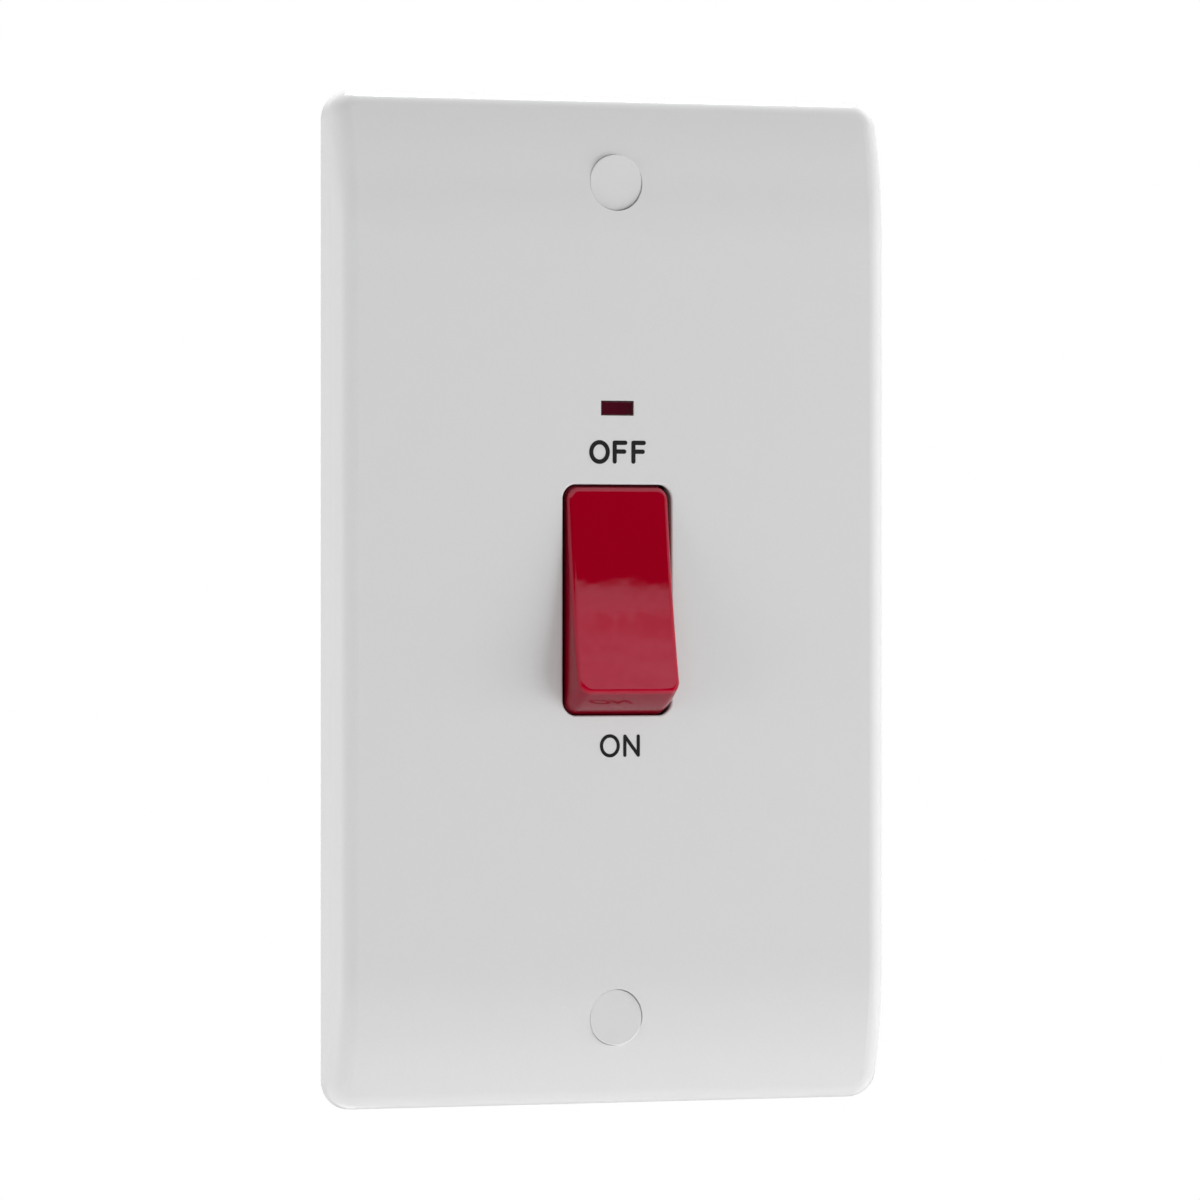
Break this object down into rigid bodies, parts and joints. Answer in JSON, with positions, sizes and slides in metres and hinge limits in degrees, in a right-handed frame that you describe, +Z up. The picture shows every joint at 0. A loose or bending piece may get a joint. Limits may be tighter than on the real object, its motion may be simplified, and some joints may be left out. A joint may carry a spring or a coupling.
{
  "type": "double pole switch",
  "caption": "Tall white wall switch plate with a red rocker, neon window and capped fixing holes; isolates line and neutral of a fixed appliance.",
  "frame": {"origin": "middle of the plate on the wall plane, midway between the two fixing holes", "axes": "+Z up along the plate's long side, +Y into the wall, +X to the right as the user faces the switch"},
  "size_m": [0.086, 0.0331, 0.146],
  "materials": {
    "white_plate": "glossy moulded white",
    "white_cap": "glossy moulded white",
    "red_rocker": "polished moulded red",
    "grey_moulding": "matt moulded thermoset",
    "ruby_lens": "clear dark red moulding",
    "lamp_glass": "clear glass",
    "nickel_wire": "drawn nickel",
    "tinned_wire": "tinned wire",
    "resistor_body": "lacquered body",
    "brass": "machined brass",
    "brass_strip": "rolled brass strip",
    "copper_bar": "pressed copper alloy",
    "silver_tip": "riveted silver button",
    "zinc_steel": "zinc plated steel",
    "spring_steel": "drawn spring wire",
    "print_ink": "pad printed ink, matt black",
    "plunger_nylon": "natural nylon"
  },
  "bodies": {
    "plate_and_base": {"front_plate": "white_plate", "screw_cap_top": "white_cap", "screw_cap_bottom": "white_cap", "mechanism_base": "grey_moulding", "base_screws": "zinc_steel", "neon_lens": "ruby_lens", "neon_lamp": "lamp_glass", "neon_electrodes": "nickel_wire", "neon_resistor": "resistor_body", "neon_leads": "tinned_wire", "earth_terminal": "brass", "fixed_tip_line": "silver_tip", "supply_strip_line": "brass_strip", "supply_terminal_line": "brass", "load_strip_line": "brass_strip", "load_terminal_line": "brass", "fixed_tip_neutral": "silver_tip", "supply_strip_neutral": "brass_strip", "supply_terminal_neutral": "brass", "load_strip_neutral": "brass_strip", "load_terminal_neutral": "brass"},
    "rocker": {"rocker": "red_rocker", "spring_line": "spring_steel", "spring_neutral": "spring_steel"},
    "plunger_line": {"plunger_line": "plunger_nylon"},
    "contact_bar_line": {"contact_bar_line": "copper_bar", "moving_tip_line": "silver_tip"},
    "plunger_neutral": {"plunger_neutral": "plunger_nylon"},
    "contact_bar_neutral": {"contact_bar_neutral": "copper_bar", "moving_tip_neutral": "silver_tip"},
    "supply_screw_line_inner": {"supply_screw_line_inner": "zinc_steel"},
    "supply_screw_line_outer": {"supply_screw_line_outer": "zinc_steel"},
    "load_screw_line_inner": {"load_screw_line_inner": "zinc_steel"},
    "load_screw_line_outer": {"load_screw_line_outer": "zinc_steel"},
    "supply_screw_neutral_inner": {"supply_screw_neutral_inner": "zinc_steel"},
    "supply_screw_neutral_outer": {"supply_screw_neutral_outer": "zinc_steel"},
    "load_screw_neutral_inner": {"load_screw_neutral_inner": "zinc_steel"},
    "load_screw_neutral_outer": {"load_screw_neutral_outer": "zinc_steel"},
    "earth_screw": {"earth_screw": "zinc_steel"}
  },
  "joints": [
    {"name": "rocker_tilt", "type": "hinge", "parent": "plate_and_base", "child": "rocker", "pos_m": [0, -0.001, 0], "axis": [1, 0, 0], "range_deg": [0, 19]},
    {"name": "plunger_line_slide", "type": "slide", "parent": "rocker", "child": "plunger_line", "axis": [0, -0.9863, 0.165], "range_m": [0, 0.0015], "stiffness_N_per_m": 800, "springref_m": -0.001, "deforming": ["spring_line"]},
    {"name": "contact_bar_line_rock", "type": "hinge", "parent": "plate_and_base", "child": "contact_bar_line", "pos_m": [-0.0042, 0.01484, 0], "axis": [1, 0, 0], "range_deg": [-20, 0]},
    {"name": "plunger_neutral_slide", "type": "slide", "parent": "rocker", "child": "plunger_neutral", "axis": [0, -0.9863, 0.165], "range_m": [0, 0.0015], "stiffness_N_per_m": 800, "springref_m": -0.001, "deforming": ["spring_neutral"]},
    {"name": "contact_bar_neutral_rock", "type": "hinge", "parent": "plate_and_base", "child": "contact_bar_neutral", "pos_m": [0.0042, 0.01484, 0], "axis": [1, 0, 0], "range_deg": [-20, 0]},
    {"name": "supply_screw_line_inner_clamp", "type": "slide", "parent": "plate_and_base", "child": "supply_screw_line_inner", "axis": [0, -1, 0], "range_m": [0, 0.0048]},
    {"name": "supply_screw_line_outer_clamp", "type": "slide", "parent": "plate_and_base", "child": "supply_screw_line_outer", "axis": [0, -1, 0], "range_m": [0, 0.0048]},
    {"name": "load_screw_line_inner_clamp", "type": "slide", "parent": "plate_and_base", "child": "load_screw_line_inner", "axis": [0, -1, 0], "range_m": [0, 0.0048]},
    {"name": "load_screw_line_outer_clamp", "type": "slide", "parent": "plate_and_base", "child": "load_screw_line_outer", "axis": [0, -1, 0], "range_m": [0, 0.0048]},
    {"name": "supply_screw_neutral_inner_clamp", "type": "slide", "parent": "plate_and_base", "child": "supply_screw_neutral_inner", "axis": [0, -1, 0], "range_m": [0, 0.0048]},
    {"name": "supply_screw_neutral_outer_clamp", "type": "slide", "parent": "plate_and_base", "child": "supply_screw_neutral_outer", "axis": [0, -1, 0], "range_m": [0, 0.0048]},
    {"name": "load_screw_neutral_inner_clamp", "type": "slide", "parent": "plate_and_base", "child": "load_screw_neutral_inner", "axis": [0, -1, 0], "range_m": [0, 0.0048]},
    {"name": "load_screw_neutral_outer_clamp", "type": "slide", "parent": "plate_and_base", "child": "load_screw_neutral_outer", "axis": [0, -1, 0], "range_m": [0, 0.0048]},
    {"name": "earth_screw_clamp", "type": "slide", "parent": "plate_and_base", "child": "earth_screw", "axis": [0, -1, 0], "range_m": [0, 0.003]}
  ],
  "couplings": [
    {"joint": "contact_bar_line_rock", "follows": "rocker_tilt", "ratio": -1.05},
    {"joint": "contact_bar_neutral_rock", "follows": "rocker_tilt", "ratio": -1.05}
  ]
}
